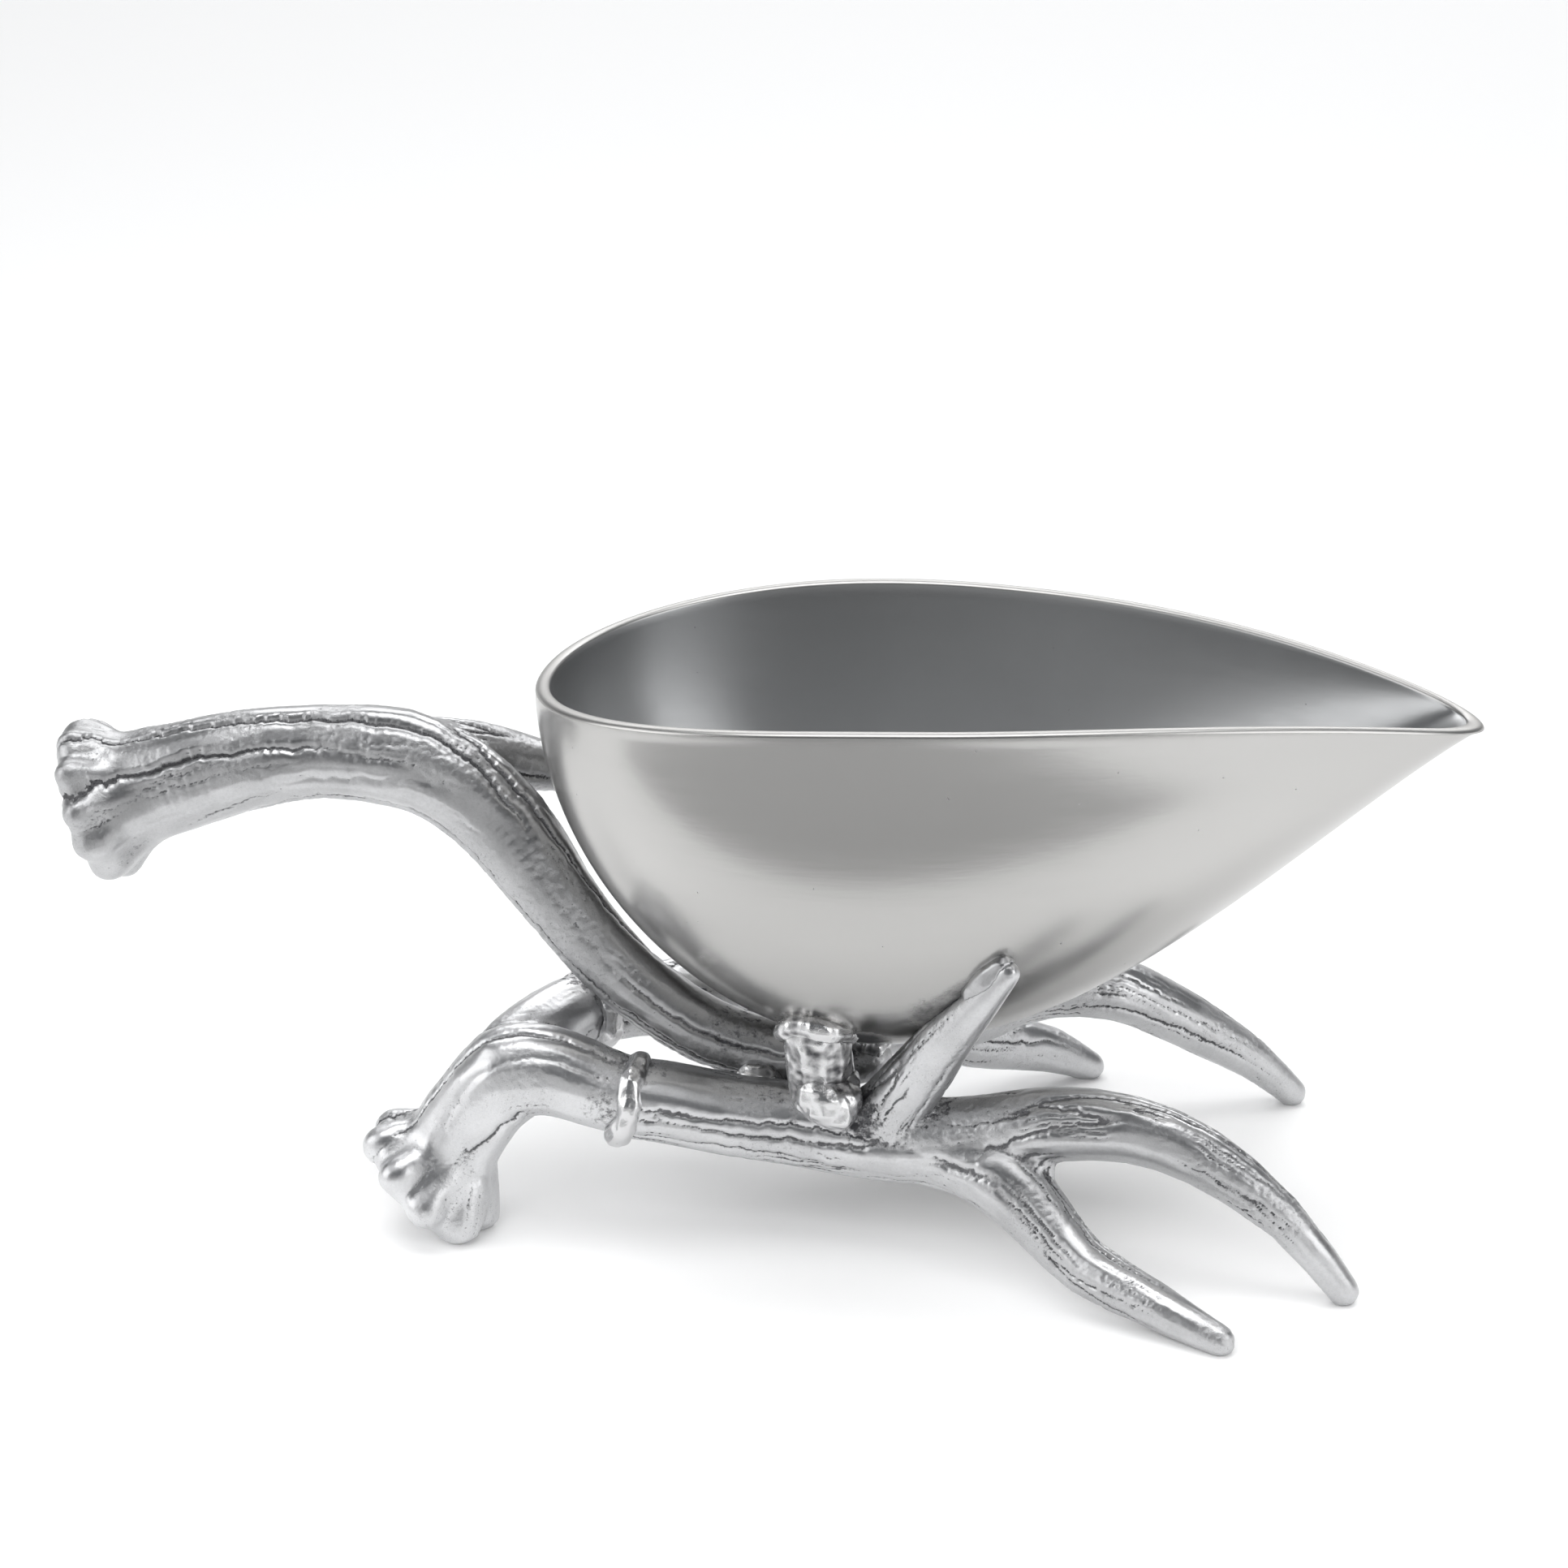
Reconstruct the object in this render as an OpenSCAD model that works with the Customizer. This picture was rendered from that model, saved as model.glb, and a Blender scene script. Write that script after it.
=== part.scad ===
// Sauce boat: a teardrop bowl carried by cast antlers that are welded into one rigid stand.
// X runs from the handle to the spout, Z is up, and the table is the plane z = 0.
// Shapes are laid out from the bowl's centre plane, then moved so that the middle of
// the outline on the table becomes the origin.

/* [Bowl] */
// Length from the back of the bowl to the tip of the spout
bowl_length = 190; // [170:1:215]
// Width across the rim
bowl_width = 106; // [92:1:120]
// Depth from the highest part of the rim to the underside
bowl_depth = 82; // [76:1:84]
// Thickness of the cast wall
bowl_wall = 3; // [2.4:0.1:4]
// Height of the highest part of the rim above the table
rim_height = 123.5; // [122:0.5:130]
// How far the rim dips at the spout
spout_dip = 9.3; // [4:0.1:12]
// How far the rim dips at the back
back_dip = 7.4; // [3:0.1:9]

/* [Handle] */
// Radius of the handle where the hand holds it
handle_radius = 9.8; // [8:0.1:11.5]
// How far the handle's end stands behind the bowl
handle_reach = 99; // [85:1:115]
// Number of lobes around the burr at the handle's end
handle_lobes = 11; // [7:1:14]

/* [Stand] */
// Radius of the front and rear antlers where the lugs sit
beam_radius = 8.4; // [7.4:0.1:9.2]
// Radius of the heel's shoulder
shoulder_radius = 9.8; // [8.6:0.1:10.6]
// Radius of the rounded end of each ground tine
tine_tip_radius = 3.2; // [2.6:0.1:4]
// Depth ground off each tine tip and the heel to make a flat
ground_depth = 0.6; // [0.3:0.1:1]
// Number of lobes around the heel's burr
heel_lobes = 9; // [7:1:12]

/* [Lugs and welds] */
// Radius of the lugs between the bowl and the antlers
lug_radius = 6.6; // [5.5:0.1:7.5]
// Radius of the bead of filler metal around a butt joint
bead_radius = 2.6; // [2:0.1:3.2]
// Radius of the bead where a tip is tacked to the bowl
tack_radius = 2.2; // [1.8:0.1:2.8]

/* [Hidden] */

// The bowl is laid out along X from its back end.
back_x = -50;
tip_x = back_x + bowl_length;
crest_x = back_x + 0.45 * bowl_length;
widest_x = back_x + 0.33 * bowl_length;
deepest_x = back_x + 0.37 * bowl_length;
// Section curves: 2 is an ellipse and more is squarer.
plan_back_power = 2.15;
keel_back_power = 1.8;
section_power = 2.05;
plan_spout_power = 0.9;
keel_spout_power = 1.07;
// The rim falls away from its highest place: slowly to the back, and late to the spout.
back_dip_power = 2;
spout_dip_power = 2.7;
// The plan outline aims at a point past the spout's rounded tip.
spout_overshoot = 8;
tip_rounding_power = 60;
bowl_stations = 34;
bowl_steps = 16;

// The limbs below are laid out around a bowl of these sizes, and fit() carries them to the real one.
layout_length = 190;
layout_width = 106;
layout_depth = 82;
layout_clearance = 41.5;
layout_handle = 9.8;
layout_beam = 8.4;
layout_shoulder = 9.8;
clearance = rim_height - bowl_depth;

// Middle of the outline on the table, measured from the bowl's centre plane.
burr_overhang = 4.5;
handle_end_x = back_x - handle_reach;
rear_tip = [57.5, 78.6];
front_tip = [95, -54.5];
origin_x = (tip_x + handle_end_x - burr_overhang) / 2;
origin_y = (rear_tip[1] + front_tip[1]) / 2 * bowl_width / layout_width;

ball_sides = 14;
weld_sides = 8;
limb_steps = 2;
far = 60;

// A ring of filler metal: straight runs round it and how far it wavers.
bead_steps = 10;
bead_waver = 0.5;
// How far past a butt joint's plane each limb trims the joint's bead.
bead_lap = 0.05;
// Each burr: reach of its lobes, radius of a lobe, its length and how far its face stands out.
burr_ring = 17.5;
burr_lobe = 4.2;
burr_rise = 9;
burr_face = 4.3;

// ---- Small helpers ----

function clamp(v, lo, hi) = min(max(v, lo), hi);
function first3(p) = [p[0], p[1], p[2]];

// One value of a smooth curve through four neighbouring values.
function smooth(a, b, c, d, t) =
    0.5 * (2 * b + (c - a) * t + (2 * a - 5 * b + 4 * c - d) * t * t
        + (3 * b - a - 3 * c + d) * t * t * t);

// A smooth route through hand-placed points [x, y, z, radius].
function route(points, steps = limb_steps) = [
    for (i = [0 : len(points) - 2], s = [0 : steps - 1])
        smooth(points[max(i - 1, 0)], points[i], points[i + 1],
            points[min(i + 2, len(points) - 1)], s / steps),
    points[len(points) - 1]
];

// Carries one laid-out point [x, y, z, radius] to the real bowl, with a radius factor.
function fit(p, k = 1) = [
    back_x + (p[0] - back_x) * bowl_length / layout_length,
    p[1] * bowl_width / layout_width,
    p[2] < layout_clearance
        ? p[2] * clearance / layout_clearance
        : clearance + (p[2] - layout_clearance) * bowl_depth / layout_depth,
    p[3] * k
];
function fit_all(points, k = 1) = [for (p = points) fit(p, k)];

// The place that stands off a limb's point [x, y, z, radius] in one direction.
function on_limb(p, way, off) = first3(p) + (p[3] + off) * unit(way);

// Tacks lie against the bowl's skin: tack_lift is how far their middle stands off it.
layout_tack = 2.2;
tack_lift = 0.8;
// A laid-out place [x, y] brought up to the bowl's underside.
function under_bowl(p) =
    let (q = fit([p[0], p[1], 0, 0]))
    [q[0], q[1], skin_z(q[0], q[1]) - tack_lift];
// A bead's laid-out points [x, z, radius] brought in to the bowl's skin on one side.
function beside_bowl(points, side) = [
    for (p = points)
        let (q = fit([p[0], 0, p[1], p[2]], tack_radius / layout_tack))
        [q[0], side * (skin_y(q[0], q[2]) + tack_lift), q[2], q[3]]
];

// Moves a shape from the bowl's layout to the part's own frame.
module placed() {
    translate([-origin_x, -origin_y, 0]) children();
}

// A rounded limb through points [x, y, z, radius].
module limb(points, steps = limb_steps, sides = ball_sides) {
    stops = route(points, steps);
    for (i = [0 : len(stops) - 2])
        hull() {
            translate(first3(stops[i])) sphere(r = stops[i][3], $fn = sides);
            translate(first3(stops[i + 1])) sphere(r = stops[i + 1][3], $fn = sides);
        }
}

// Turns +Z to the direction d.
module aimed(d) {
    rotate([0, atan2(norm([d[0], d[1]]), d[2]), atan2(d[1], d[0])]) children();
}

// Everything on the far side of a plane through p, facing d.
module beyond(p, d) {
    translate(p) aimed(d) translate([-far / 2, -far / 2, 0]) cube(far);
}

// Everything under the table's surface.
module below_table() {
    translate([-2 * far, -2 * far, -far]) cube([6 * far, 4 * far, far]);
}

// A closed ring of filler metal around the axis d at the place p.
module ring_bead(p, d, ring, bead) {
    translate(p) aimed(d)
        for (i = [0 : bead_steps - 1])
            hull()
                for (a = [i, i + 1] * 360 / bead_steps)
                    translate([ring * cos(a), ring * sin(a), bead_waver * sin(3 * a)])
                        sphere(r = bead, $fn = weld_sides);
}

// A lumpy pad of filler metal.
module pad_bead(p, size) {
    translate(p)
        for (a = [0 : 45 : 315])
            hull() {
                sphere(r = size * 0.8, $fn = weld_sides);
                translate(size * 0.42 * [cos(a), sin(a), 0.6 * sin(2 * a)])
                    sphere(r = size * 0.62, $fn = weld_sides);
            }
}

// A burr: a thick disc with lobes round it that flares from the limb's end, around the axis d.
module burr(p, d, count, ring, core) {
    translate(p) aimed(d) {
        hull()
            for (z = [-burr_rise, 1])
                translate([0, 0, z]) cylinder(r1 = z < 0 ? core : ring - burr_lobe * 0.7,
                    r2 = z < 0 ? core : ring - burr_lobe, h = 2, $fn = 2 * ball_sides);
        for (i = [0 : count - 1]) {
            a = i * 360 / count;
            big = burr_lobe * (1 + 0.2 * sin(a * 2 + 40));
            rotate(a)
                hull() {
                    translate([core - burr_lobe / 2, 0, -burr_rise])
                        sphere(r = burr_lobe / 2, $fn = weld_sides);
                    translate([ring - big, 0, 0]) sphere(r = big, $fn = ball_sides);
                }
        }
    }
}

// ---- Bowl ----

// The same formulas make both skins: inset is 0 for the outer one and 1 for the inner one.
function end_back(inset) = back_x + inset * bowl_wall;
function end_tip(inset) = tip_x - inset * 2 * bowl_wall;

// Half width of the outline at the place x.
function half_width(x, inset) =
    let (back = end_back(inset), tip = end_tip(inset), half = bowl_width / 2 - inset * bowl_wall)
    half * pow(1 - pow(clamp((x - back) / (tip - back), 0, 1), tip_rounding_power), 0.5)
        * (x < widest_x
            ? pow(1 - pow((widest_x - x) / (widest_x - back), plan_back_power), 1 / plan_back_power)
            : pow(cos(90 * (x - widest_x) / (tip + spout_overshoot - widest_x)), plan_spout_power));

function rim_z(x) =
    x < crest_x
    ? rim_height - back_dip * pow((crest_x - x) / (crest_x - back_x), back_dip_power)
    : rim_height - spout_dip * pow((x - crest_x) / (tip_x - crest_x), spout_dip_power);

// Depth of the keel below the rim at the place x.
function keel_depth(x, inset) =
    let (back = end_back(inset), tip = end_tip(inset))
    (bowl_depth - inset * bowl_wall)
        * (x < deepest_x
            ? pow(1 - pow((deepest_x - x) / (deepest_x - back), keel_back_power), 1 / keel_back_power)
            : pow(cos(90 * (x - deepest_x) / (tip - deepest_x)), keel_spout_power));

function signed_power(v, p) = sign(v) * pow(abs(v), p);

// How far the outer skin stands from the centre plane, at the place x and the height z.
function skin_y(x, z) =
    half_width(x, 0)
        * pow(1 - pow((rim_z(x) - z) / keel_depth(x, 0), section_power), 1 / section_power);

// Height of the outer skin's underside at the place x and y.
function skin_z(x, y) =
    rim_z(x) - keel_depth(x, 0)
        * pow(1 - pow(abs(y) / half_width(x, 0), section_power), 1 / section_power);

// A point on a skin: u runs from back to spout, and t from the near rim under to the far rim.
function skin(u, t, inset) =
    let (x = end_back(inset) + (end_tip(inset) - end_back(inset)) * (1 - cos(180 * u)) / 2,
        w = half_width(x, inset), d = keel_depth(x, inset), a = 180 * t)
    [x, -w * signed_power(cos(a), 2 / section_power), rim_z(x) - d * pow(sin(a), 2 / section_power)];

function unit(v) = v / norm(v);

// A solid through rings of points, closed at each end by a fan to one point.
module loft(rings, first, last) {
    side = len(rings[0]);
    count = len(rings);
    size = count * side;
    polyhedron(
        concat([for (r = rings) each r], [first, last]),
        concat(
            [for (i = [0 : count - 2], j = [0 : side - 1], k = [0, 1])
                let (a = i * side + j, b = i * side + (j + 1) % side, c = a + side, d = b + side)
                k == 0 ? [c, b, a] : [c, d, b]],
            [for (j = [0 : side - 1]) [j, (j + 1) % side, size]],
            [for (j = [0 : side - 1]) [size - side + (j + 1) % side, size - side + j, size + 1]]
        ));
}

// The share of the way along for each station, clear of both pointed ends.
end_gap = 0.03;
bowl_shares = [for (i = [0 : bowl_stations - 1])
    end_gap + (1 - 2 * end_gap) * i / (bowl_stations - 1)];

// The outside of the bowl as a solid, closed across the rim.
module bowl_solid() {
    loft([for (u = bowl_shares) [for (j = [0 : bowl_steps]) skin(u, j / bowl_steps, 0)]],
        skin(0, 0.5, 0), skin(1, 0.5, 0));
}

// The hollow, with a lid that stands above the rim.
module bowl_hollow() {
    lid = [0, 0, back_dip + spout_dip];
    loft([for (u = bowl_shares) concat(
            [skin(u, 0, 1) + lid],
            [for (j = [0 : bowl_steps]) skin(u, j / bowl_steps, 1)],
            [skin(u, 1, 1) + lid])],
        skin(0, 0.5, 1), skin(1, 0.5, 1));
}

module bowl() {
    color("silver") placed()
        difference() {
            bowl_solid();
            bowl_hollow();
        }
}

// ---- Routes of the limbs, as [x, y, z, radius] ----

handle_k = handle_radius / layout_handle;
beam_k = beam_radius / layout_beam;
shoulder_k = shoulder_radius / layout_shoulder;
// A butt joint's bead is as wide as the mean of the two limbs it joins.
butt_k = (beam_k + shoulder_k) / 2;
tip_r = tine_tip_radius;
tip_z = tip_r - ground_depth;

// The stem of the handle, over the hand and down under the bowl.
layout_reach = 99;
grip_shift = layout_reach - handle_reach;
grip_start = 8;
grip_run = 90;
function gripped(p) =
    [p[0] + grip_shift * clamp((back_x - grip_start - p[0]) / grip_run, 0, 1), p[1], p[2], p[3]];
handle_stem = [for (p = fit_all([
    [-146.5, 0, 82.5, 12.4], [-139, 0, 84.8, 12], [-130, 0, 87.6, 11.6], [-113, 0, 93, 10.3],
    [-96, 0, 96, 9.8], [-79, -1, 95.4, 10.2], [-68, -3, 92, 10], [-57.5, -4, 83.2, 9.2],
    [-47.5, -5, 70, 8.2], [-37.5, -5, 57.4, 7.6], [-27.5, -5, 48, 7.2], [-16, -5, 40.8, 6.9],
    [-4, -5, 37.2, 6.6], [9, -5, 35.8, 6], [19, -5, 36.6, 4.6]], handle_k)) gripped(p)];
// The short branch that reaches round to the far side of the bowl.
handle_branch = fit_all([
    [-86, 0, 96, 8], [-73, 5, 95.5, 7.2], [-63, 12, 92.5, 6.2], [-55, 18.5, 89, 5.4],
    [-47.5, 23.5, 86.8, 4.8], [-40.8, 25.9, 85.6, 4.4]], handle_k);

heel_front = fit_all([
    [-70, -20, 12, 11.4], [-66.5, -20, 18.5, 10], [-61, -20.5, 27.5, 9.6], [-53.5, -21, 35.6, 9.9],
    [-45, -21, 36.3, 9.3], [-36, -21, 33.5, 8.6], [-27, -20, 30.6, 8.3]], shoulder_k);
heel_rear = fit_all([[-56, -20, 35.5, 8.4], [-51, -9, 38.8, 7.9], [-45, 2, 40, 7.6], [-38, 10, 39.5, 7.4]],
    shoulder_k);

front_beam = fit_all([
    [-31, -20.8, 31.8, 8.3], [-21.6, -19, 30.2, 8.4], [-8, -18, 27.8, 8.4], [5, -17, 26.3, 8.6],
    [18.5, -17, 25, 9], [32, -18, 25, 9], [45.5, -20, 27.6, 8.2]], beam_k);
front_inner_tine = concat(fit_all([
    [36, -18.5, 26, 8.4], [45.5, -20, 28.6, 8], [58.8, -22, 32, 7.6], [73.7, -24, 32.8, 6.9],
    [88.6, -26, 28.8, 5.8], [105.3, -28, 18, 4.4]], beam_k),
    [fit([118, -28.5, 0, 0]) + [0, 0, tip_z, tip_r]]);
front_outer_tine = concat(fit_all([
    [34, -18, 24, 8.4], [47, -23.5, 21.5, 8], [58, -31, 14.2, 6.6], [67, -38.5, 8.8, 5.4],
    [81.6, -47, 5.6, 4.6]], beam_k),
    [fit([front_tip[0], front_tip[1], 0, 0]) + [0, 0, tip_z, tip_r]]);
front_fork_web = fit_all([[46, -22, 25.5, 6.5], [55.6, -25.2, 24, 3.8]], beam_k);
front_brow_tine = fit_all([
    [12, -17, 25, 7], [21.8, -18, 28.5, 7.4], [28, -21.5, 37, 6.8], [37, -28.5, 51.5, 5.2],
    [44.5, -33.5, 62, 3.8], [50.5, -37.5, 70.5, 2.4]], beam_k);

rear_beam = fit_all([
    [-47, 0, 40, 7.5], [-34, 14, 39, 7.8], [-20, 25, 36, 8.3], [-4, 33, 32, 8.4],
    [12, 38.5, 29, 8.6], [26, 43, 28, 9], [38, 46.5, 30, 8]], beam_k);
rear_inner_tine = concat(fit_all([
    [26, 43, 28, 8.4], [38, 46, 31, 7.8], [51, 49.5, 33.8, 7.4], [64.3, 52, 32.5, 7],
    [74.3, 57, 26.5, 6.2], [84.4, 62, 19.4, 5.4], [94.5, 67, 11.6, 4.4]], beam_k),
    [fit([103, 70.8, 0, 0]) + [0, 0, tip_z, tip_r]]);
rear_outer_tine = concat(fit_all([
    [26, 43, 27, 8], [32, 55, 18.5, 7], [39.5, 67, 12, 6], [48, 74, 8, 5.2]], beam_k),
    [fit([rear_tip[0], rear_tip[1], 0, 0]) + [0, 0, tip_z, tip_r]]);
rear_brow_tine = fit_all([
    [0, 34.5, 31, 7], [9, 36, 35, 7.2], [15, 37.5, 43, 6.4], [24, 40.8, 56, 5], [31, 43, 66, 3.8],
    [37, 45.4, 75, 2.4]], beam_k);

front_butt = first3(fit([-29, -20.5, 31, 0]));
front_butt_way = [1, 0.12, -0.28];
rear_butt = first3(fit([-42, 5, 39.9, 0]));
rear_butt_way = [0.62, 0.78, -0.08];
// The heel's burr faces down and back.
heel_end = first3(fit([-71, -20, 10.6, 0]));
heel_way = [-0.68, 0, -0.73];
handle_end = [handle_end_x + burr_face, 0, fit([0, 0, 82.5, 0])[2]];
handle_way = [-0.95, 0, -0.31];

front_lug_route = fit_all([[11, -18, 31, 6.4], [10.7, -22, 41, 6.8], [10.5, -24.5, 50, 6.8]],
    lug_radius / 6.6);
rear_lug_route = fit_all([[6, 37.5, 34, 6.4], [6.4, 34, 44, 6.8], [6.8, 31, 54, 6.8]],
    lug_radius / 6.6);

front_lug_top = first3(fit([10.5, -24, 50, 0]));
front_lug_way = [0, -0.45, -0.9];
rear_lug_top = first3(fit([6.8, 31, 53.5, 0]));
rear_lug_way = [0, 0.6, -0.8];
front_lug_foot = on_limb(fit([13, -17, 25.5, 8.8], beam_k), [0, -0.58, 0.81], 4.1);
rear_lug_foot = on_limb(fit([6, 36.5, 30.1, 8.5], beam_k), [0, 0.79, 0.62], 1);
handle_tip_spot = under_bowl([18, -5]);
handle_branch_spot = under_bowl([-39.5, 25]);
handle_beam_spot = first3(fit([-3, -11.5, 33, 0]));
front_tine_bead = beside_bowl([[43, 64.5, 2.3], [46.4, 68.6, 2.8], [49.3, 71.8, 2.4]], -1);
rear_tine_bead = beside_bowl([[28, 64.5, 2.1], [32, 69.5, 2.6], [35.6, 74, 2.2]], 1);

// ---- Castings ----

module handle_whole() {
    difference() {
        union() {
            limb(handle_stem);
            limb(handle_branch);
            burr(handle_end, handle_way, handle_lobes, burr_ring, 11.6 * handle_k);
        }
        beyond(handle_end + burr_face * unit(handle_way), handle_way);
    }
}

module handle_antler() {
    color("silver") placed()
        difference() {
            handle_whole();
            bowl_solid();
        }
}

module heel_arms() {
    limb(heel_front);
    limb(heel_rear);
}

// Each limb ends at the joint's plane. A bead is trimmed by limbs that run on by the lap.
module heel_whole(lap = 0) {
    difference() {
        union() {
            heel_arms();
            burr(heel_end, heel_way, heel_lobes, burr_ring, 10.6 * shoulder_k);
        }
        beyond(heel_end + burr_face * unit(heel_way), heel_way);
        beyond(front_butt + lap * unit(front_butt_way), front_butt_way);
        beyond(rear_butt + lap * unit(rear_butt_way), rear_butt_way);
        below_table();
    }
}

module heel_burr() {
    color("gainsboro") placed()
        difference() {
            heel_whole();
            handle_whole();
        }
}

module front_limbs() {
    limb(front_beam);
    limb(front_inner_tine);
    limb(front_outer_tine);
    limb(front_fork_web);
    limb(front_brow_tine);
}

module front_whole(lap = 0) {
    difference() {
        front_limbs();
        beyond(front_butt - lap * unit(front_butt_way), -front_butt_way);
        below_table();
    }
}

module front_antler() {
    color("gainsboro") placed()
        difference() {
            front_whole();
            handle_whole();
            bowl_solid();
        }
}

module rear_limbs() {
    limb(rear_beam);
    limb(rear_inner_tine);
    limb(rear_outer_tine);
    limb(rear_brow_tine);
}

module rear_whole(lap = 0) {
    difference() {
        rear_limbs();
        beyond(rear_butt - lap * unit(rear_butt_way), -rear_butt_way);
        below_table();
    }
}

module rear_antler() {
    color("gainsboro") placed()
        difference() {
            rear_whole();
            handle_whole();
            bowl_solid();
        }
}

module front_lug_whole() {
    limb(front_lug_route, 4, weld_sides + 2);
}

module front_lug() {
    color("silver") placed()
        difference() {
            front_lug_whole();
            front_whole();
            handle_whole();
            bowl_solid();
        }
}

module rear_lug_whole() {
    limb(rear_lug_route, 4, weld_sides + 2);
}

module rear_lug() {
    color("silver") placed()
        difference() {
            rear_lug_whole();
            rear_whole();
            bowl_solid();
        }
}

// ---- Filler metal ----

// One weld: a bead with the castings that it joins taken out of it.
module weld_front_butt() {
    color("whitesmoke") placed()
        difference() {
            ring_bead(front_butt, front_butt_way, 8 * butt_k, bead_radius);
            heel_whole(bead_lap);
            front_whole(bead_lap);
            handle_whole();
        }
}

module weld_rear_butt() {
    color("whitesmoke") placed()
        difference() {
            ring_bead(rear_butt, rear_butt_way, 7.2 * butt_k, bead_radius);
            heel_whole(bead_lap);
            rear_whole(bead_lap);
            handle_whole();
        }
}

module weld_front_lug_top() {
    color("dimgray") placed()
        difference() {
            ring_bead(front_lug_top, front_lug_way, lug_radius, tack_radius);
            front_lug_whole();
            handle_whole();
            bowl_solid();
        }
}

module weld_rear_lug_top() {
    color("dimgray") placed()
        difference() {
            ring_bead(rear_lug_top, rear_lug_way, lug_radius, tack_radius);
            rear_lug_whole();
            bowl_solid();
        }
}

module weld_front_lug_foot() {
    color("whitesmoke") placed()
        difference() {
            pad_bead(front_lug_foot, 2.7 * bead_radius);
            front_lug_whole();
            front_whole();
            handle_whole();
        }
}

module weld_rear_lug_foot() {
    color("whitesmoke") placed()
        difference() {
            pad_bead(rear_lug_foot, 2.7 * bead_radius);
            rear_lug_whole();
            rear_whole();
        }
}

module weld_handle_tip() {
    color("dimgray") placed()
        difference() {
            pad_bead(handle_tip_spot, 2.2 * tack_radius);
            handle_whole();
            front_lug_whole();
            bowl_solid();
        }
}

module weld_handle_branch() {
    color("dimgray") placed()
        difference() {
            pad_bead(handle_branch_spot, 2 * tack_radius);
            handle_whole();
            bowl_solid();
        }
}

module weld_handle_beam() {
    color("dimgray") placed()
        difference() {
            pad_bead(handle_beam_spot, 2.2 * tack_radius);
            handle_whole();
            front_whole();
        }
}

module weld_front_tine() {
    color("dimgray") placed()
        difference() {
            limb(front_tine_bead, 4, weld_sides);
            front_whole();
            bowl_solid();
        }
}

module weld_rear_tine() {
    color("dimgray") placed()
        difference() {
            limb(rear_tine_bead, 4, weld_sides);
            rear_whole();
            bowl_solid();
        }
}

bowl();
handle_antler();
heel_burr();
front_antler();
rear_antler();
front_lug();
rear_lug();
weld_front_butt();
weld_rear_butt();
weld_front_lug_top();
weld_rear_lug_top();
weld_front_lug_foot();
weld_rear_lug_foot();
weld_handle_tip();
weld_handle_branch();
weld_handle_beam();
weld_front_tine();
weld_rear_tine();
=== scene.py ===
"""Sauce boat: a teardrop bowl carried by cast antlers welded into one rigid stand.

Each operator makes one piece, or one group of like pieces, in the part's own frame and in metres.
"""

import math

import bmesh
import bpy
import numpy as np
from bpy.props import FloatProperty, FloatVectorProperty, IntProperty, PointerProperty
from mathutils import Matrix, Vector, noise


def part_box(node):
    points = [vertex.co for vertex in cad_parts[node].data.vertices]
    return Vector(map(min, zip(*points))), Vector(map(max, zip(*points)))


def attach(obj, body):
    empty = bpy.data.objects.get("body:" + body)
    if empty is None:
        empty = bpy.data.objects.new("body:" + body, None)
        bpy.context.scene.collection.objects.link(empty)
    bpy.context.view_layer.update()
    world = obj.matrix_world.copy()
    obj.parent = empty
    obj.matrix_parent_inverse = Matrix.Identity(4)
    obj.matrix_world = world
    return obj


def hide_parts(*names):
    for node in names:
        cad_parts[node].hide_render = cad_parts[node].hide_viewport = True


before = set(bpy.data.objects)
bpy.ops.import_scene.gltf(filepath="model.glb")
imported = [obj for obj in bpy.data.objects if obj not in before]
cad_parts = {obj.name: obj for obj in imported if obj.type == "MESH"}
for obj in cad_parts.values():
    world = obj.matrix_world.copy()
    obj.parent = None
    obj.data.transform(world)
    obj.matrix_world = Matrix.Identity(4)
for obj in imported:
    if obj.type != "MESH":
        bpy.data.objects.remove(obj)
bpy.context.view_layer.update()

bl_info = {
    "name": "Antler Sauce Boat",
    "version": (1, 0, 0),
    "blender": (4, 5, 0),
    "location": "View3D > Sidebar > Sauce Boat",
    "description": "Builds the bowl, the cast antlers, the welds and the studio round them",
    "category": "Object",
}

BOWL_LOW, BOWL_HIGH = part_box("bowl")
MM = 0.001


# ---- Sizes and colours ----

def length(name, description, default, **limits):
    """A size in metres."""
    return FloatProperty(name=name, description=description, default=default, unit="LENGTH",
                         subtype="DISTANCE", precision=5, **limits)


def colour(name, description, default):
    """A linear colour."""
    return FloatVectorProperty(name=name, description=description, default=default, size=3,
                               subtype="COLOR", min=0, max=1)


def share(name, description, default):
    """A share from 0 to 1."""
    return FloatProperty(name=name, description=description, default=default, subtype="FACTOR",
                         min=0, max=1)


def angle(name, description, degrees):
    """An angle, given in degrees."""
    return FloatProperty(name=name, description=description, default=math.radians(degrees),
                         subtype="ANGLE")


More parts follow.
